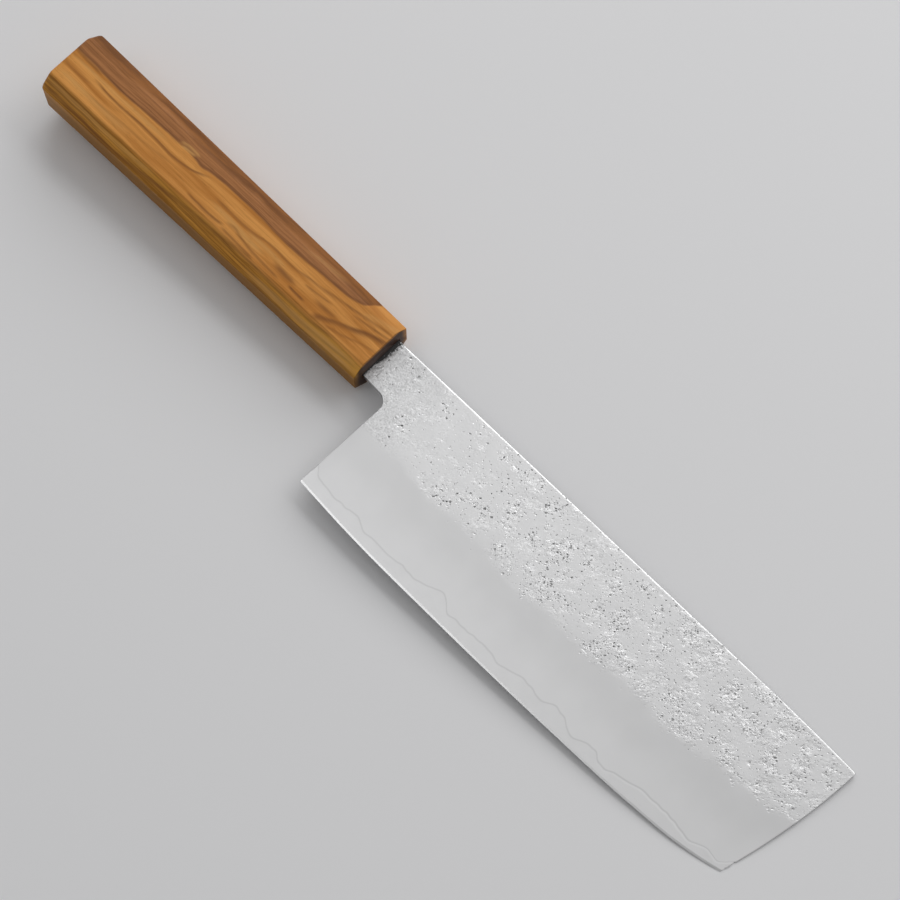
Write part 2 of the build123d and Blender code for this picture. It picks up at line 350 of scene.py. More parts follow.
class Shade:
    """A socket in a material's nodes. Sums and products of it add their own Math nodes. In a Mix node the sockets
    0, 6 and 7 are the factor and the two colours, and output 2 is the colour."""

    def __init__(self, tree, socket=None):
        self.tree = tree
        self.socket = socket

    def node(self, kind, inputs, settings=None, output=0):
        """Adds a node, with its settings or its curve's points first and then its sockets, and gives an output."""
        node = self.tree.nodes.new("ShaderNode" + kind)
        for name, value in (settings or {}).items():
            if name == "points":
                curve = node.mapping.curves[0]
                while len(curve.points) < len(value):
                    curve.points.new(0.5, 0.5)
                for point, place in zip(curve.points, value):
                    point.location = place
                node.mapping.update()
            else:
                setattr(node, name, value)
        for name, value in inputs.items():
            if isinstance(value, Shade):
                self.tree.links.new(value.socket, node.inputs[name])
            else:
                node.inputs[name].default_value = value
        return Shade(self.tree, node.outputs[output])

    def other(self, output):
        """Another output of the node that gave this value."""
        return Shade(self.tree, self.socket.node.outputs[output])

    def sum_of(self, operation, first, second=0.0):
        """A Math node on one or two values."""
        return self.node("Math", {0: first, 1: second}, {"operation": operation})

    def __add__(self, other):
        return self.sum_of("ADD", self, other)

    __radd__ = __add__

    def __sub__(self, other):
        return self.sum_of("SUBTRACT", self, other)

    def __rsub__(self, other):
        return self.sum_of("SUBTRACT", other, self)

    def __mul__(self, other):
        return self.sum_of("MULTIPLY", self, other)

    __rmul__ = __mul__

    def __truediv__(self, other):
        return self.sum_of("DIVIDE", self, other)

    def __abs__(self):
        return self.sum_of("ABSOLUTE", self)

    def root(self):
        return self.sum_of("SQRT", self)

    def most(self, other):
        """The larger of two values."""
        return self.sum_of("MAXIMUM", self, other)

    def between(self, low, high):
        """0 up to the low value, 1 from the high value on, and smooth between them."""
        ends = {"Value": self, "From Min": low, "From Max": high}
        return self.node("MapRange", ends, {"interpolation_type": "SMOOTHSTEP"})

    def mix(self, first, second):
        """The first colour where this is 0 and the second where it is 1."""
        return self.node("Mix", {0: self, 6: first, 7: second}, {"data_type": "RGBA"}, 2)

    def times(self, colour):
        """A colour with this much of its brightness."""
        return self.node("Mix", {0: 1.0, 6: colour, 7: self}, {"data_type": "RGBA", "blend_type": "MULTIPLY"}, 2)

    def reading(self, label):
        """A value that a piece's mesh holds at its points."""
        return self.node("Attribute", {}, {"attribute_name": label}, 2)

    def noise(self, place, stretch, scale, detail=2.0, roughness=0.5, twist=0.0):
        """Cloudy values around a half, stretched along the axes."""
        place = self.node("VectorMath", {0: place, 1: stretch}, {"operation": "MULTIPLY"})
        values = {"Vector": place, "Scale": scale, "Detail": detail, "Roughness": roughness, "Distortion": twist}
        return self.node("TexNoise", values)


def finish_named(name, constants):
    """A new material with its shader's fixed values. Gives it with its nodes, its shader and each point's place in
    the knife's own axes, in millimetres."""
    material = bpy.data.materials.new(name)
    material.use_nodes = True
    tree = material.node_tree
    shader = tree.nodes["Principled BSDF"]
    for label, value in constants.items():
        shader.inputs[label].default_value = value
    shade = Shade(tree)
    place = shade.node(
        "Mapping",
        {
            "Vector": shade.node("TexCoord", {}, output=3),
            "Location": handle_face_place,
            "Rotation": (roll_over, nose_down, 0),
            "Scale": (0.001, 0.001, 0.001),
        },
        {"vector_type": "TEXTURE"},
    )
    return material, shade, shader, place


def connect(shade, shader, values):
    """Links values to the shader's sockets."""
    for label, value in values.items():
        shade.tree.links.new(value.socket, shader.inputs[label])


plain_steel = (0.70, 0.70, 0.705, 1)
core_finish, shade, shader, place = finish_named("core steel", {"Metallic": 1.0})
weld_gap = abs(shade.reading("above_weld"))
cloud = shade.noise(place, (1, 1, 1), 0.25, 3)
specks = shade.noise(place, (1.2, 1, 1), 3.2, 3, 0.7)
honed_specks = specks.between(0.6, 0.75) * (1 - shade.reading("above_edge").between(1.6, 3.2))
weld_mark = 1 - weld_gap.between(0.05, 0.40)
along = shade.node("SeparateXYZ", {"Vector": place})
pale_rim = along.between(120, 150) * weld_gap.between(0.2, 0.4) * (1 - weld_gap.between(0.6, 1.1))
# Painted shade: the core's tone falls slowly towards the tip.
tone = 0.94 + 0.05 * cloud - 0.14 * along.between(-20, 200) - 0.11 * weld_mark - 0.16 * honed_specks + 0.06 * pale_rim
satin = shade.noise(place, (0.35, 3, 3), 3.0, 2)
bump = shade.node("Bump", {"Strength": 0.25, "Distance": 0.00001, "Height": satin + 2 * honed_specks})
connect(shade, shader, {"Base Color": tone.times(plain_steel), "Roughness": 0.27 + 0.08 * cloud, "Normal": bump})
core.data.materials.append(core_finish)
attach(core, "root")
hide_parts("core_steel")


# Side layers: soft steel forged onto both sides of the core. Their upper half keeps the forged pear skin, with
# small pits in clusters, and the grind below it is smooth satin down to the wandering weld.

# Each cluster of pits has its middle's X and Y, how far it spreads, how many pits it has and how wide they are.
cluster_places = (
    (6.5, 6.2, 0.1, 1, 0.75), (12.5, 3.6, 0.1, 1, 0.95), (3.2, -5.0, 0.1, 1, 0.60), (8.6, 3.4, 1.6, 5, 0.34),
    (19.0, -9.0, 2.2, 14, 0.26), (26.0, 2.0, 2.5, 8, 0.24), (37.0, 6.0, 0.8, 3, 0.28), (42.0, -8.0, 1.6, 7, 0.26),
    (44.0, -15.5, 3.0, 8, 0.26), (42.0, -19.5, 2.6, 7, 0.24), (47.5, 3.4, 1.6, 9, 0.27),
    (54.5, -2.0, 2.0, 10, 0.27), (50.0, -12.0, 1.6, 7, 0.28), (55.5, -12.5, 2.0, 14, 0.30),
    (56.0, 4.0, 1.4, 10, 0.28), (61.0, 5.2, 1.2, 14, 0.34), (61.5, -6.0, 1.8, 18, 0.30),
    (61.2, -10.8, 0.7, 6, 0.40), (69.0, 3.4, 2.6, 22, 0.28), (71.4, -3.3, 0.5, 3, 0.55),
    (70.4, -8.8, 1.4, 16, 0.30), (66.5, -17.0, 2.4, 20, 0.30), (72.0, -20.3, 1.0, 9, 0.34),
    (72.6, -26.4, 0.9, 6, 0.40), (78.4, -1.6, 1.2, 12, 0.34), (77.6, -6.2, 1.6, 18, 0.32),
    (81.6, -5.6, 1.4, 10, 0.28), (79.2, -10.4, 0.9, 5, 0.34), (80.5, -23.6, 2.6, 12, 0.34),
    (82.0, -15.2, 0.8, 6, 0.40), (84.4, -18.2, 1.6, 16, 0.34), (88.0, -15.6, 1.2, 9, 0.36),
    (84.3, -10.0, 0.8, 4, 0.30), (87.4, -1.6, 1.3, 12, 0.30), (92.0, -16.2, 0.8, 6, 0.36),
    (92.4, -24.4, 0.9, 5, 0.34), (94.0, 2.6, 2.2, 12, 0.26), (98.6, -2.0, 1.6, 14, 0.30),
    (99.8, -11.4, 1.4, 10, 0.30), (105.6, -8.0, 2.4, 42, 0.30), (104.0, 3.6, 1.8, 14, 0.28),
    (108.0, -15.4, 2.0, 22, 0.30), (105.4, -20.6, 1.8, 20, 0.32), (111.6, 1.4, 0.9, 9, 0.42),
    (112.8, -2.0, 0.8, 4, 0.32), (111.4, -14.2, 0.6, 4, 0.46), (113.4, -15.8, 0.8, 6, 0.34),
    (111.0, -23.0, 1.6, 14, 0.32), (117.6, -0.8, 1.0, 6, 0.30), (120.6, 4.6, 2.2, 18, 0.30),
    (120.8, -4.4, 1.3, 22, 0.36), (117.2, -16.6, 1.3, 18, 0.34), (123.4, -17.8, 0.9, 8, 0.38),
    (121.6, -20.4, 1.0, 6, 0.30), (125.0, 2.4, 1.8, 20, 0.34), (131.6, 5.0, 1.4, 18, 0.34),
    (131.0, -1.5, 0.6, 3, 0.36), (132.0, -13.6, 2.0, 36, 0.34), (136.0, -16.0, 0.9, 8, 0.36),
    (132.6, -22.4, 2.0, 14, 0.34), (142.6, 0.6, 1.8, 34, 0.38), (142.4, -2.4, 1.4, 16, 0.36),
    (142.4, -8.4, 0.6, 4, 0.36), (143.4, -10.9, 0.5, 2, 0.46), (140.4, -18.8, 1.2, 14, 0.36),
    (138.0, -19.6, 2.0, 14, 0.30), (144.0, -15.2, 0.7, 6, 0.34), (148.4, 5.4, 1.2, 12, 0.34),
    (152.6, 5.6, 1.6, 18, 0.34), (148.2, -14.4, 0.6, 5, 0.38), (148.0, -5.8, 0.8, 5, 0.32),
    (154.2, -16.0, 2.0, 26, 0.34), (153.6, -3.6, 2.0, 26, 0.36), (160.2, -12.3, 0.35, 3, 0.62),
    (157.6, 3.8, 1.6, 14, 0.32), (161.6, 0.0, 1.3, 14, 0.34), (163.0, -7.0, 1.6, 20, 0.34),
    (160.6, -18.8, 1.8, 18, 0.38), (165.8, -14.6, 0.8, 18, 0.42), (165.6, -9.6, 0.8, 8, 0.38),
    (168.2, 1.6, 0.5, 3, 0.46), (162.8, 4.6, 0.9, 8, 0.34), (170.8, 5.0, 1.0, 6, 0.36),
    (171.8, -1.4, 1.8, 16, 0.32), (173.2, -18.0, 1.3, 14, 0.36), (171.6, -8.0, 1.6, 12, 0.30),
    (175.6, -8.6, 1.4, 18, 0.36), (177.4, 2.6, 0.9, 7, 0.52), (178.0, 0.4, 0.8, 5, 0.46),
    (180.4, -1.2, 0.6, 4, 0.48), (176.0, -13.4, 1.4, 10, 0.34), (168.6, -19.0, 1.2, 10, 0.34),
)
loose_pits = 1100
lowest_pit_y = -23.4
deepest_pit = 0.09
dark_pit_depth = 0.12
peel_heights = ((13.0, 0.036), (4.5, 0.020), (1.7, 0.010), (0.85, 0.004))
crowd_size, crowd_height = 0.8, 0.014
skin_sink = 0.045
calm_width = 0.6
thinnest_layer = 0.01
hill_columns, hill_rows = 97, 89

# The grid of a side layer: a column well inside the blade, a little less than the gap between its rows, how many
# fine rows it has, how far the last rows lie from the weld, and how deep the spine's rounded rows lie.
blade_column = -300
row_gap = 0.2
fine_row_count = 117
weld_gaps = (4, 2.4, 1.3, 0.7, 0.35, 0.14, 0)
rounding = [spine_radius * (1 - math.cos(math.radians(turn))) for turn in (0, 22.5, 45, 67.5)]


def rolling(x, y, size, seed):
    """Smooth hills and hollows between -1 and 1, about one size apart."""
    lattice = np.random.default_rng(seed).uniform(-1, 1, (hill_columns, hill_rows))
    left, low = np.floor(x / size).astype(int), np.floor(y / size).astype(int)
    across, up = x / size - left, y / size - low
    across, up = across**2 * (3 - 2 * across), up**2 * (3 - 2 * up)

    def at(column, row):
        return lattice[column % hill_columns, row % hill_rows]

    lower = at(left, low) * (1 - across) + at(left + 1, low) * across
    upper = at(left, low + 1) * (1 - across) + at(left + 1, low + 1) * across
    return lower * (1 - up) + upper * up


def pear_skin(x, y, clusters, seed):
    """The forged surface: shallow hills, and pits with a faint rim, most of them in clusters. Also gives where the
    pits are and how crowded they are."""
    draw = np.random.default_rng(seed)
    relief = sum(depth * rolling(x, y, size, seed + n) for n, (size, depth) in enumerate(peel_heights))
    pitted = np.zeros_like(relief)
    crowd = np.zeros_like(relief)

    def near(place_x, place_y, reach):
        """The rows and columns round a place, and how far their points are from it."""
        row = int(np.argmin(np.abs(y[:, blade_column] - place_y)))
        around = int(reach / row_gap)
        rows = slice(max(0, row - around - 2), row + around + 3)
        columns = slice(*np.searchsorted(x[row], (place_x - reach - 0.4, place_x + reach + 0.4)))
        return rows, columns, x[rows, columns] - place_x, y[rows, columns] - place_y

    pits = []
    for middle_x, middle_y, spread, count, radius in clusters:
        wide = spread + 0.5
        rows, columns, near_x, near_y = near(middle_x, middle_y, 3 * wide)
        full = min(1, 0.35 + count / (7 * wide**2))
        spot = full * np.exp(-((np.hypot(near_x, near_y) / (1.3 * wide)) ** 2))
        crowd[rows, columns] = 1 - (1 - crowd[rows, columns]) * (1 - spot)
        for _ in range(math.ceil(0.55 * count)):
            turn, far = draw.uniform(0, 2 * math.pi), spread * math.sqrt(draw.uniform(0, 1.6)) * (count > 1)
            pit_x, pit_y = middle_x + far * math.cos(turn), middle_y + far * math.sin(turn)
            pits.append((pit_x, pit_y, radius * draw.uniform(0.6, 1.1)))
    for _ in range(loose_pits):
        far = draw.uniform(0, 1) ** 0.75
        pits.append((neck_corner.x + far * edge_length, draw.uniform(-24, 7.2), draw.uniform(0.16, 0.28)))
    relief += crowd * crowd_height * rolling(x, y, crowd_size, seed + 9)
    for pit_x, pit_y, radius in pits:
        if pit_y < lowest_pit_y:
            continue
        rows, columns, near_x, near_y = near(pit_x, pit_y, 2.4 * radius)
        turn = np.arctan2(near_y, near_x)
        lobes = 1 + 0.22 * np.cos(2 * turn + draw.uniform(0, 6)) + 0.16 * np.cos(3 * turn + draw.uniform(0, 6))
        gap = np.hypot(near_x, near_y) / (radius * lobes)
        depth = min(deepest_pit, radius * draw.uniform(0.18, 0.36))
        relief[rows, columns] -= depth * (1 - gap**2) * np.exp(-(gap**2))
        darkness = np.exp(-((gap / 0.7) ** 2)) * depth / dark_pit_depth
        pitted[rows, columns] = np.maximum(pitted[rows, columns], darkness)
    return relief, pitted, crowd


def side_layer(name, node, clusters, seed, side):
    """One side layer, made face up and turned over for the left side. Its rows run down from the rounded spine:
    fine ones over the pear skin, spread ones over the ground face and a few close together at the weld."""
    fine_rows = [(0, -spine_radius - gap) for gap in (0, 0.14, 0.28, 0.33)]
    fine_rows += [(0, -spine_radius - fine_step * n) for n in range(2, fine_row_count)]
    last_fine, first_gap = fine_rows[-1][1], weld_gaps[0]
    spread_rows = [(n / 6, last_fine + (first_gap - last_fine) * n / 6) for n in range(1, 6)]
    weld_rows = [(1, gap) for gap in weld_gaps]
    rows = [(0, -gap) for gap in rounding] + fine_rows + spread_rows + weld_rows
    x, y, neck_row, neck_columns = sheet_places(rows[::-1], weld_line)
    flat, ground = half_thickness(x), ground_half(x, y)
    relief, pitted, crowd = pear_skin(x, y, clusters, seed)
    border = np.minimum(spine_line(x) - y, tip_line(y) - x)
    calm = np.clip(border / calm_width, 0.15, 1) * np.clip((x + 0.5) / 3, 0, 1)
    forged = flat + relief * calm - skin_sink
    skin = np.clip((ground - forged) / skin_sink + 0.35, 0, 1)
    z = np.minimum(forged, ground) - corner_drop(x, y, neck_row, neck_columns)
    z = np.maximum(z, core_share * flat + thinnest_layer)
    readings = {"pear_skin": skin, "pitted": pitted * calm * skin, "crowd": crowd, "above_weld": y - weld_line(x)}
    x, y = turn_tip_corner(x, y)
    piece = sheet_piece(name, x, y, z, neck_row, neck_columns, readings)
    move_walls(piece, lambda at: core_share * half_thickness(at))
    bpy.ops.object.mode_set(mode="EDIT")
    bpy.ops.mesh.edge_face_add()
    bpy.ops.mesh.select_all(action="SELECT")
    bpy.ops.transform.resize(value=(1, 1, side), center_override=(0, 0, 0))
    lay_down(piece, smooth_angle=40)
    piece.data.materials.append(side_finish)
    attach(piece, "root")
    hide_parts(node)


side_finish, shade, shader, place = finish_named("side steel", {"Metallic": 1.0})
along = shade.node("SeparateXYZ", {"Vector": place})
height_up = along.other(1)
skin = shade.reading("pear_skin")
crowd = shade.reading("crowd")
pitted = shade.reading("pitted")
above_weld = shade.reading("above_weld")
sway = shade.noise(place, (1, 1, 1), 1.1, 2).other(1)
swayed = shade.node("VectorMath", {0: sway, 1: (0.8, 0.8, 0.8), 2: place}, {"operation": "MULTIPLY_ADD"})
slanted = shade.node(
    "Mapping",
    {"Vector": swayed, "Rotation": (0, 0, math.radians(45)), "Scale": (1.25, 0.78, 1)},
    {"vector_type": "TEXTURE"},
)


def small_pits(scale, size, share, everywhere):
    """Small slanting pits of many sizes, more of them where the skin is crowded."""
    far = shade.node("TexVoronoi", {"Vector": slanted, "Scale": scale})
    chance = shade.node("SeparateColor", {"Color": far.other(1)})
    wide = size * (0.45 + 0.75 * chance.other(1))
    there = (chance + share * patchy + (everywhere * busy - 1)).between(-0.03, 0.06)
    return there * (1 - far.between(0.1 * wide, wide)) * (0.4 + 0.6 * chance.other(2)) * skin


# How crowded and how rough the skin is: pits of two sizes, a fine peel, a mottle and broad lumps.
busy = 0.5 + 0.5 * along.between(25, 65)
patchy = (1.5 * crowd * (0.2 + shade.noise(place, (1, 1, 1), 0.55, 3, 0.6))).between(0.12, 0.95)
pits = small_pits(1.25, 0.54, 0.40, 0.08)
fine_pits = small_pits(2.2, 0.56, 0.55, 0.16)
islands = shade.noise(place, (1, 1, 1), 0.14, 2)
rougher = 0.5 + 0.5 * busy + 0.25 * along.between(95, 135)
textured = (0.9 * patchy + islands.between(0.42, 0.62)).between(-0.25, 1.3) * rougher
peel = shade.noise(slanted, (1, 1, 1), 1.35, 4, 0.6)
mottle = shade.noise(place, (1.0, 1.3, 1), 1.6, 3, 0.7)
lumps = shade.noise(slanted, (1, 1, 1), 0.24, 2)
neck_cloud = shade.noise(place, (1, 0.5, 1), 0.22, 3, 0.6)
near_handle = 1 - along.between(10, 30)
cloud = shade.noise(place, (1, 1, 1), 0.12, 3)
# Painted light: soft lighter patches in the crowded skin stand in for light on its lumps.
painted_lump_light = (patchy * (0.4 + shade.noise(place, (1, 1, 1), 0.35, 3, 0.6))).between(0.30, 0.85) * skin

# Where the steel comes out of the handle it is darkened, partly by a real stain and partly by a painted shadow and
# reflection of the handle's dark face. The dark has a ragged end and reaches further towards the spine.
stain_and_shade_noise = shade.noise(place, (1.3, 0.8, 1), 1.3, 4, 0.65)
stain_and_shade_reach = 0.35 + 1.25 * height_up.between(-4.0, 4.5)
stain_and_shade = (along / stain_and_shade_reach + 3.6 * (stain_and_shade_noise - 0.5)).between(1.25, 0.75) * along.between(-0.6, -0.1)

# Painted shade: the tone falls slowly towards the tip and in the middle of the ground face. It is also darker at the
# weld, and the pear skin adds its own.
weld_mark = 1 - abs(above_weld).between(0.05, 0.45)
painted_tip_falloff = along.between(-20, 200)
tip_corner = along.between(160, 172)
painted_grind_shade = above_weld.between(3.0, 15.0) * (1 - above_weld.between(17.0, 26.0))
tone = 0.94 + 0.04 * cloud - 0.12 * painted_tip_falloff + 0.035 * skin - 0.06 * painted_grind_shade
tone = tone + weld_mark * (0.12 * tip_corner - 0.12)
tone = tone + skin * (0.03 * painted_lump_light + 0.16 * (peel.between(0.25, 0.75) - 0.5) * textured)
tone = tone + skin * 0.20 * (mottle.between(0.25, 0.75) - 0.5) * textured
tone = tone + skin * near_handle * (0.26 * neck_cloud + 0.34 * mottle.between(0.25, 0.75) - 0.38)
# The colour is darkened in and round the pits.
tone = tone * (1 - 0.9 * pits) * (1 - 0.6 * fine_pits) * (1 - 0.8 * pitted.between(0.30, 1.0)) * (1 - 0.88 * stain_and_shade)
# Painted shade: the steel is darker over its first 16 mm out of the handle.
tone = tone * (0.84 + 0.16 * along.between(0.5, 16))

# The relief that is too fine for the mesh.
hills = (0.01 + 0.07 * textured) * (peel - 0.5) + 0.30 * textured * (lumps - 0.5)
height = skin * (hills - 0.20 * pits - 0.10 * fine_pits)
bump = shade.node("Bump", {"Strength": 1.0, "Distance": 0.0013, "Height": height})
roughness = 0.262 + 0.06 * cloud + 0.3 * stain_and_shade + 0.1 * pits
connect(shade, shader, {"Base Color": tone.times(plain_steel), "Roughness": roughness, "Normal": bump})

side_layer("right_side_layer", "side_layer_right", cluster_places, seed=11, side=1)

# The side that lies down has clusters of its own, in random places.
draw = np.random.default_rng(5)
other_cluster_count = 80
cluster_ranges = ((30, 180), (-23, 6), (0.8, 2.4), (5, 26), (0.26, 0.4))
other_clusters = []
for _ in range(other_cluster_count):
    middle_x, middle_y, spread, count, radius = (draw.uniform(low, high) for low, high in cluster_ranges)
    other_clusters.append((middle_x, middle_y, spread, int(count), radius))
side_layer("left_side_layer", "side_layer_left", other_clusters, seed=29, side=-1)


# Handle: one piece of olive wood, planed to eight sides, thicker at the butt and a little domed there, with the
# arrises eased and an oiled satin finish. A dark band of heartwood runs along its spine side.

handle_length = 135.0
butt_height, butt_thickness = 25.0, 20.0
front_height, front_thickness = 22.0, 17.2
bevel_height, bevel_thickness = 4.4, 4.0
arris_radius = 0.6
arris_steps = 6
butt_round = 1.6
butt_corner = 2.6
butt_dome = 0.2
butt_start = handle_length - butt_round - butt_dome
front_ease = 0.3
meeting_gap = 0.0001
bore_radius = 5.6
slot_height, slot_width = 15.9, 3.0
slot_depth = 20.35
bore_depth = 104.0


def octagon(x, inset, radius):
    """The outline of the handle's section at X, brought in by the inset, with its arrises rounded."""
    share = 1 + x / handle_length
    high = (butt_height + (front_height - butt_height) * share) / 2
    thick = (butt_thickness + (front_thickness - butt_thickness) * share) / 2
    quarter = [Vector((high, thick - bevel_thickness)), Vector((high - bevel_height, thick))]
    half = quarter + [Vector((-corner.x, corner.y)) for corner in reversed(quarter)]
    corners = half + [-corner for corner in half]
    sides = [(after - before).normalized() for before, after in zip(corners, corners[1:] + corners[:1])]
    outward = [Vector((side.y, -side.x)) for side in sides]
    points = []
    for n, corner in enumerate(corners):
        before, after = outward[n - 1], outward[n]
        middle = corner - (before + after) * ((inset + radius) / (1 + before.dot(after)))
        for step in range(arris_steps + 1):
            points.append(middle + before.slerp(after, step / arris_steps) * radius)
    return points + points[:1]


# Each section has its X, how far it is brought in and the radius of its arrises.
sections = [(0.0, front_ease, arris_radius), (-0.04, 0.16, arris_radius), (-0.15, 0.04, arris_radius)]
sections += [(x, 0.0, arris_radius) for x in (-front_ease, -20, -45, -70, -95, -115, -128, -butt_start)]
for turn in range(10, 91, 10):
    out, inward = math.sin(math.radians(turn)), 1 - math.cos(math.radians(turn))
    sections.append((-butt_start - butt_round * out, butt_round * inward, arris_radius + butt_corner * out * out))
sections.append((-butt_start - butt_round - 0.5 * butt_dome, 3.4, 1.9))
sections += [(-handle_length + 0.03, 5.6, 0.6), (-handle_length, 7.0, 0.02)]
outlines = np.array([[(x, *point) for point in octagon(x, inset, radius)] for x, inset, radius in sections])
handle, _, _ = add_grid("wooden_handle", *outlines.transpose(2, 0, 1), {})
bpy.ops.object.mode_set(mode="EDIT")
bpy.ops.mesh.select_mode(type="VERT")
bpy.ops.mesh.select_all(action="SELECT")
bpy.ops.mesh.remove_doubles(threshold=meeting_gap)
bpy.ops.mesh.select_all(action="DESELECT")
bpy.ops.mesh.select_non_manifold()
bpy.ops.mesh.edge_face_add()
bpy.ops.mesh.select_all(action="SELECT")
bpy.ops.mesh.normals_make_consistent(inside=False)
bpy.ops.object.mode_set(mode="OBJECT")

# The bore for the dowel and the slot for the neck are cut out.
bpy.ops.object.select_all(action="DESELECT")
bpy.ops.mesh.primitive_cylinder_add(
    vertices=64, radius=bore_radius, depth=bore_depth * 2, location=(0, 0, 0), rotation=(0, math.pi / 2, 0)
)
bore = bpy.context.object
bpy.ops.mesh.primitive_cube_add(
    size=1, location=(0, (spine_y + neck_bottom_y) / 2, 0), scale=(2 * slot_depth, slot_height, slot_width)
)
slot = bpy.context.object
for cutter in (bore, slot):
    cut = handle.modifiers.new("cut", "BOOLEAN")
    cut.operation = "DIFFERENCE"
    cut.object = cutter
    bpy.ops.object.select_all(action="DESELECT")
    bpy.context.view_layer.objects.active = handle
    handle.select_set(True)
    bpy.ops.object.modifier_apply(modifier=cut.name)
    bpy.data.objects.remove(cutter)
lay_down(handle, smooth_angle=24)

wood_finish, shade, shader, place = finish_named("olive wood", {"Specular IOR Level": 0.16})
along = shade.node("SeparateXYZ", {"Vector": place})
across, through_wood = along.other(1), along.other(2)
top_height = front_thickness / 2 - (butt_thickness - front_thickness) / 2 / handle_length * along
below_top = through_wood - top_height

# The growth layers are wide arcs round a heart that lies outside the piece, towards the spine and above. A layer's
# height is the Y at which it meets the top face.
heart_y, heart_z = 40.2, 20.2
heart_far = math.hypot(heart_y, heart_z)
to_heart_y, to_heart_z = across - heart_y, below_top - heart_z
layer = (heart_far - (to_heart_y * to_heart_y + to_heart_z * to_heart_z).root()) * (heart_far / heart_y)
slow_wave = shade.noise(place, (0.35, 1, 1), 0.09, 2)
wave = shade.noise(place, (0.25, 1, 1), 0.5, 2)
layer = layer + 2.2 * (slow_wave - 0.5) + 0.5 * (wave - 0.5)
length_share = (along + handle_length) / handle_length
lowest_layer, layer_span = -22.0, 44.0


def layer_curve(points):
    """A layer height that follows listed points along the handle."""
    shares = [(1 + x / handle_length, (y - lowest_layer) / layer_span) for x, y in points]
    line = shade.node("FloatCurve", {"Value": length_share}, {"points": shares})
    return line * layer_span + lowest_layer


def streak(points, width, strength, fade=4.0):
    """A line of the figure, which follows its points, is softer below and fades out at both ends."""
    gap = layer - layer_curve(points)
    body = (1 - gap.between(0, 1.2 * width)) * gap.between(-2.1 * width, 0)
    ends = along.between(points[0][0], points[0][0] + fade) * (1 - along.between(points[-1][0] - fade, points[-1][0]))
    return body * ends * (strength * (0.55 + 0.9 * uneven))


# The border of the heartwood, and then the lines of the figure: the points of each, its width, its strength and
# how long its ends fade.
heartwood_points = (
    (-135, 3.3), (-125, 3.5), (-115, 3.0), (-108, 3.0), (-100, 3.4), (-92, 3.8), (-86, 4.2), (-82, 3.7), (-79, 3.3),
    (-76, 3.8), (-68, 4.1), (-55, 3.9), (-45, 3.3), (-38, 3.4), (-30, 3.9), (-22, 4.3), (-17, 4.9), (-13.5, 5.9),
    (-11.5, 7.4), (-9, 9.5), (0, 18),
)
heart_border = layer_curve(heartwood_points)
uneven = shade.noise(place, (0.14, 0.5, 0.5), 1.0, 2)
heartwood = (layer - heart_border + 0.7 * (uneven - 0.5)).between(-0.45, 0.45)
border_line = (1 - abs(layer - heart_border - 0.3).between(0.0, 0.8)) * (1 - along.between(-16, -9))

dark_lines = (
    (
        ((-124, 0.2), (-115, -0.6), (-108, -0.8), (-100, -0.3), (-90, -0.4), (-82, 0.3), (-77, 1.8),
         (-73, 3.2)),
        0.5, 0.8, 6,
    ),
    (
        ((-70, -0.7), (-60, -0.9), (-52, -0.7), (-47, 0), (-42, 0), (-38, -0.3), (-30, 0.7), (-24, 1.4),
         (-15, 3.1), (-5, 4.7), (2, 5.5)),
        0.45, 0.5, 5,
    ),
    (((-23, -6.5), (-19, -5.4), (-15, -3.4), (-10, -1.1), (-5, 1.1), (2, 2.6)), 1.0, 0.85, 3),
    (((-19, -7), (-10, -4.7), (-4, -2.7), (2, -1.5)), 0.5, 0.4, 4),
    (((-62, -4.6), (-58, -3.5), (-55, -4.0), (-50, -4.9), (-44, -5.4), (-36, -5.9)), 0.55, 0.55, 4),
    (((-62, -6.2), (-54, -6.5), (-46, -6.8)), 0.5, 0.6, 3),
    (((-43, -2.8), (-38, -3.2), (-31, -3.4)), 0.9, 0.7, 4),
    (((-34, -5.2), (-30, -5.4), (-26, -5.4)), 0.4, 0.9, 2),
    (((-26, -2.2), (-20, -2.7), (-14, -2.4)), 0.8, 0.55, 4),
    (((-77, -5.5), (-72, -5.8), (-66, -5.9), (-60, -5.1)), 0.5, 0.75, 3),
    (((-31, -1.4), (-24, -0.8), (-19, -0.2)), 0.35, 0.55, 3),
    (((-14, 1.8), (-6, 3.1), (2, 4.3)), 0.4, 0.5, 3),
    (((-136, -1.9), (-128, -2.6), (-121, -2.0)), 0.5, 0.35, 4),
    (((-137, 3.0), (-129, 3.1), (-121, 2.7)), 0.5, 0.6, 4),
    (((-124, -4.8), (-105, -4.3), (-95, -3.4), (-84, -2.3)), 0.5, 0.3, 8),
    (((-137, -9.0), (-120, -9.2), (-105, -9.4)), 0.5, 0.35, 6),
    (((-137, -10.9), (-122, -11.0), (-108, -11.2)), 0.5, 0.5, 5),
    (
        ((-137, -12.4), (-118, -12.7), (-105, -13.2), (-96, -12.4), (-85, -11.2), (-75, -10.0), (-62, -9.3),
         (-50, -8.9)),
        0.9, 0.65, 6,
    ),
    (((-60, -7.9), (-50, -8.2), (-36, -8.6), (-22, -8.6), (-10, -7.6)), 0.6, 0.5, 6),
    (((-48, -13.0), (-30, -13.1), (-10, -12.8), (2, -12.5)), 0.5, 0.55, 6),
    (((-60, -10.4), (-40, -10.8), (-20, -10.9), (2, -9.6)), 0.5, 0.35, 8),
)


def together(lines):
    """The strength of several lines of the figure at once."""
    left = 1 - streak(*lines[0])
    for line in lines[1:]:
        left = left * (1 - streak(*line))
    return 1 - left


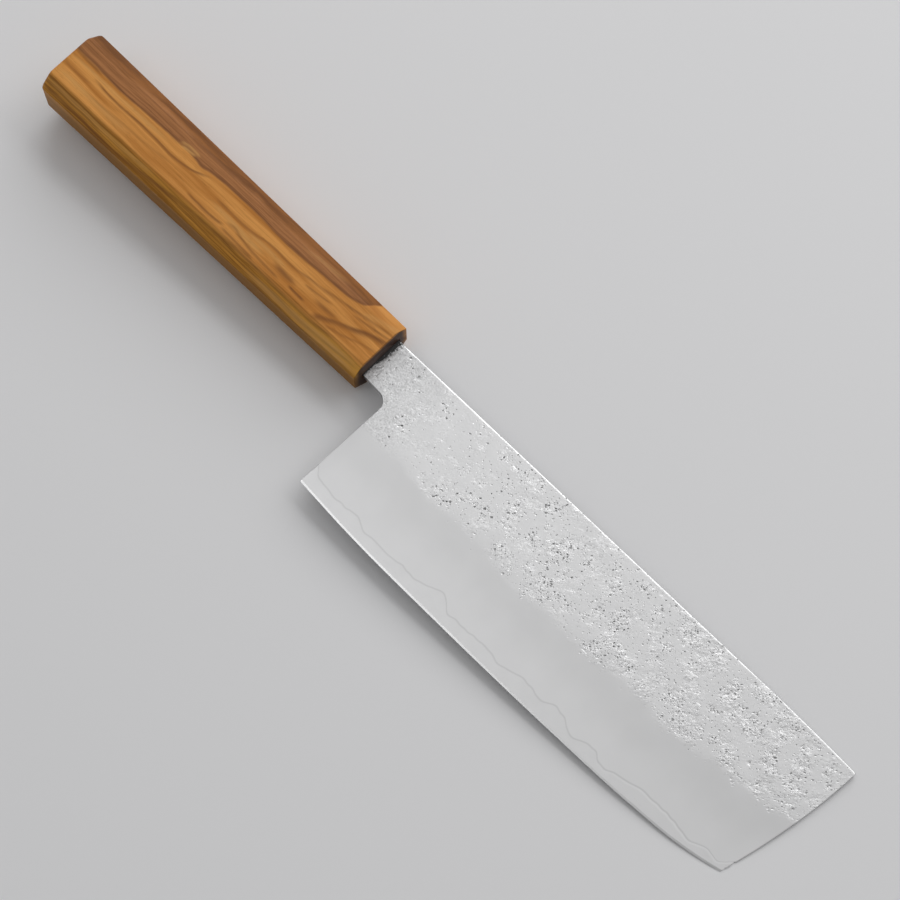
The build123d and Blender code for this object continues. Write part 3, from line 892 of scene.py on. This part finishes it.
light_lines = (
    (((-90, 4.4), (-87, 5.1), (-84, 5.3), (-81, 5.0)), 0.42, 0.8, 2),
    (((-89, 3.8), (-86, 4.3), (-82, 4.4)), 0.35, 0.8, 2),
    (((-40, 6.3), (-30, 6.8), (-20, 7.2)), 0.5, 0.3, 6),
    (((-12, 4.2), (-6, 6.0), (2, 7.4)), 0.8, 0.5, 3),
    (((-70, -2.4), (-60, -2.7), (-52, -3.1), (-44, -3.4)), 0.9, 0.7, 6),
    (((-56, -1.6), (-46, -1.5), (-36, -1.9)), 0.7, 0.6, 5),
    (((-136, 1.4), (-120, 1.3), (-104, 1.5), (-90, 2.2)), 0.7, 0.6, 8),
    (((-136, -5.6), (-120, -5.4), (-100, -5.6)), 0.9, 0.6, 8),
    (((-137, -9.9), (-118, -10.0), (-98, -9.8), (-86, -9.0)), 0.8, 0.6, 8),
    (((-50, -11.6), (-34, -11.2), (-18, -10.4), (2, -9.0)), 1.2, 0.9, 12),
    (((-24, -12.4), (-10, -12.0), (2, -11.2)), 0.9, 0.9, 8),
)


def growth_rings(lengthwise, ringwise, deep, detail, roughness):
    """Bands that follow the growth layers, with how fast they change along each way."""
    followed = shade.node("CombineXYZ", {"X": along * lengthwise, "Y": layer * ringwise, "Z": below_top * deep})
    return shade.node("TexNoise", {"Vector": followed, "Scale": 1.0, "Detail": detail, "Roughness": roughness})


rings = growth_rings(0.020, 0.42, 0.05, 2.0, 0.5)
fine_rings = growth_rings(0.035, 1.7, 0.4, 3.0, 0.6)
fine_grain = shade.noise(place, (0.05, 1.3, 1.3), 3.2, 3, 0.65)
pores = shade.noise(place, (0.06, 2.2, 2.2), 3.0, 2, 0.6)
flecks = shade.noise(place, (0.16, 1.1, 1.1), 1.5, 3, 0.6, 0.4).between(0.56, 0.74)

# Sapwood: gold on the top, olive on the bevel towards the edge, and on the side that lies below it a real brown
# darkened further as painted shade.
dark_gold, light_gold, gold_ring = (0.49, 0.190, 0.035, 1), (0.73, 0.330, 0.082, 1), (0.38, 0.135, 0.022, 1)
dark_olive, light_olive, front_gold = (0.30, 0.120, 0.013, 1), (0.62, 0.285, 0.040, 1), (0.78, 0.390, 0.070, 1)
brown_with_painted_shade = (0.24, 0.098, 0.005, 1)
gold = rings.between(0.30, 0.66).mix(dark_gold, light_gold)
gold = ((1 - fine_rings.between(0.34, 0.56)) * 0.3).mix(gold, gold_ring)
olive = fine_rings.between(0.35, 0.62).mix(dark_olive, light_olive)
toward_edge = 1 - layer.between(-9.6, -7.4)
gold = (toward_edge * 0.85).mix(gold, olive)
gold = (along.between(-46, 0) * toward_edge * 0.75).mix(gold, front_gold)
# Partly painted shade: the side that lies below is made darker brown than its wood alone.
under_side_painted_shade = 1 - (layer - 2.0 * length_share).between(-17.0, -12.5)
under_side_shade_strength = 0.62 + 0.2 * along.between(-134, -118) + 0.08 * along.between(-60, -10)
gold = (under_side_painted_shade * under_side_shade_strength).mix(gold, brown_with_painted_shade)

# Heartwood: brown, and darker on the bevel towards the spine.
heart_top = fine_rings.between(0.32, 0.62).mix((0.28, 0.112, 0.038, 1), (0.42, 0.178, 0.062, 1))
heart_bevel = fine_rings.between(0.32, 0.66).mix((0.17, 0.060, 0.013, 1), (0.29, 0.108, 0.024, 1))
bevel_start = front_height / 2 - bevel_height - (butt_height - front_height) / 2 / handle_length * along
heart_tone = (layer - bevel_start).between(-0.7, 0.7).mix(heart_top, heart_bevel)
colour = heartwood.mix(gold, heart_tone)

# The lines of the figure and the grain go over both, and the front end is darkened: partly a real stain round the
# tang, partly painted shade.
border_brown, light_line, dark_line = (0.15, 0.055, 0.020, 1), (0.66, 0.35, 0.11, 1), (0.17, 0.062, 0.018, 1)
end_stain_and_shade = (0.030, 0.012, 0.009, 1)
colour = (border_line * (0.35 + 0.5 * uneven)).mix(colour, border_brown)
colour = (together(light_lines) * 0.8).mix(colour, light_line)
colour = (together(dark_lines) * 0.85).mix(colour, dark_line)
deep_pores = pores.between(0.6, 0.8)
grain_tone = 0.87 + 0.28 * fine_grain - 0.12 * deep_pores - 0.16 * flecks
colour = grain_tone.times(colour)
from_middle = (abs(across) / (front_height / 2)).most(abs(through_wood) / (front_thickness / 2))
# Partly painted shade, partly a real stain: the handle's face is made near black, lighter towards its rim.
stained_and_shaded_end = along.between(-0.35, 0.0) * (0.95 - 0.55 * from_middle.between(0.78, 0.98))
colour = stained_and_shaded_end.mix(colour, end_stain_and_shade)
bump = shade.node("Bump", {"Strength": 0.35, "Distance": 0.00004, "Height": fine_grain - 0.6 * deep_pores})
connect(shade, shader, {"Base Color": colour, "Roughness": 0.42 + 0.16 * fine_grain, "Normal": bump})
handle.data.materials.append(wood_finish)
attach(handle, "root")
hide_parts("handle_body")


# Dowel: the slotted hardwood rod that is driven into the handle's bore and grips the tang. Only its end shows,
# round the neck, and it is near black: partly a real stain, partly painted shade. The CAD solid shows as it is.


def give_finish(node, finish):
    """Gives a CAD solid that shows as it is its material."""
    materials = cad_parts[node].data.materials
    materials.clear()
    materials.append(finish)


dowel_finish, shade, shader, place = finish_named("dowel end grain", {"Roughness": 0.6})
rings = shade.noise(place, (0.2, 1, 1), 1.6, 3, 0.6)
# Partly painted shade: the ring colours are kept near black.
dark_ring, light_ring = (0.030, 0.014, 0.010, 1), (0.085, 0.045, 0.032, 1)
connect(shade, shader, {"Base Color": rings.mix(dark_ring, light_ring)})
give_finish("tang_dowel", dowel_finish)


# Adhesive: dark set resin that is poured in round the tang. It fills the slot round the neck, a little behind the
# handle's face. The CAD solid shows as it is.

resin_finish, shade, shader, place = finish_named("set resin", {"Roughness": 0.35})
lumps = shade.noise(place, (1, 1, 1), 1.3, 3)
dark_resin, light_resin = (0.012, 0.010, 0.010, 1), (0.035, 0.028, 0.026, 1)
bump = shade.node("Bump", {"Strength": 0.5, "Distance": 0.0001, "Height": lumps})
connect(shade, shader, {"Base Color": lumps.mix(dark_resin, light_resin), "Normal": bump})
give_finish("tang_adhesive", resin_finish)


# Floor: the plain pale surface that the knife lies on. It takes the knife's shadow and reaches past every edge of
# the picture.

floor_size = 8
pale_grey = (0.80, 0.80, 0.81, 1)
bpy.ops.object.select_all(action="DESELECT")
bpy.ops.mesh.primitive_plane_add(size=floor_size, location=(0, 0, 0))
floor = bpy.context.object
floor.name = "floor"
floor_finish, shade, shader, place = finish_named("pale floor", {"Roughness": 0.7, "Base Color": pale_grey})
floor.data.materials.append(floor_finish)


# Light: four soft panels. The steel mirrors the overhead one, the bright strip gives the spine's rounding its glint
# and the edge panel the honed edge's. The key panel, tilted on the spine's side, lights the wood and the floor.


def panel(name, place, size, watts, turn):
    """A soft rectangular light, turned from facing straight down."""
    light = bpy.data.lights.new(name, "AREA")
    light.shape = "RECTANGLE"
    light.size, light.size_y = size
    light.energy = watts
    lamp = bpy.data.objects.new(name, light)
    lamp.location = place
    lamp.rotation_euler = turn
    bpy.context.scene.collection.objects.link(lamp)


straight_down = (0, 0, 0)
panel("overhead panel", (-0.053, 0.124, 1.10), (1.4, 0.75), 1.29, (0, 0, math.radians(45)))
panel("bright strip", (0.0, 0.74, 1.10), (1.9, 0.36), 3.9, straight_down)
panel("edge panel", (-0.19, -0.39, 1.02), (0.36, 0.32), 0.55, straight_down)
panel("key panel", (-0.3, 1.6, 1.15), (3.0, 1.3), 17.5, (math.radians(-57), 0, math.radians(8)))

# The room is plain white. It is paler where the camera or a mirrored ray meets it than in the light that it gives.
room_light, paler_for_camera, paler_in_steel = 0.28, 0.32, 0.20
world = bpy.data.worlds.new("soft room")
world.use_nodes = True
background = world.node_tree.nodes["Background"]
background.inputs["Color"].default_value = (1, 1, 1, 1)
room = Shade(world.node_tree)
camera_ray = room.node("LightPath", {})
glossy_ray = camera_ray.other(3)
strength = room_light + paler_for_camera * camera_ray + paler_in_steel * glossy_ray
connect(room, background, {"Strength": strength})
bpy.context.scene.world = world


# Camera: a 100 mm lens on a full frame, above the knife and turned a little, as the photo was taken.

view_azimuth, view_elevation, view_roll = math.radians(45.915), math.radians(70.044), math.radians(-1.343)
view_target = Vector((0.0085658, 0.0124887, 0))
view_distance = 0.743025
lens_length, frame_width = 100, 36
back = Vector((
    math.sin(view_azimuth) * math.cos(view_elevation),
    -math.cos(view_azimuth) * math.cos(view_elevation),
    math.sin(view_elevation),
))
lens_data = bpy.data.cameras.new("camera")
lens_data.sensor_width = frame_width
lens_data.lens = lens_length
lens_data.clip_start, lens_data.clip_end = 0.01, 20
camera = bpy.data.objects.new("camera", lens_data)
camera.rotation_mode = "QUATERNION"
right = Vector((math.cos(view_azimuth), math.sin(view_azimuth), 0))
upward = back.cross(right)
turned_right = right * math.cos(view_roll) + upward * math.sin(view_roll)
turned_up = upward * math.cos(view_roll) - right * math.sin(view_roll)
camera.rotation_quaternion = Matrix((turned_right, turned_up, back)).transposed().to_quaternion()
camera.location = view_target + back * view_distance
bpy.context.scene.collection.objects.link(camera)
bpy.context.scene.camera = camera
bpy.context.scene.view_settings.view_transform = "Standard"
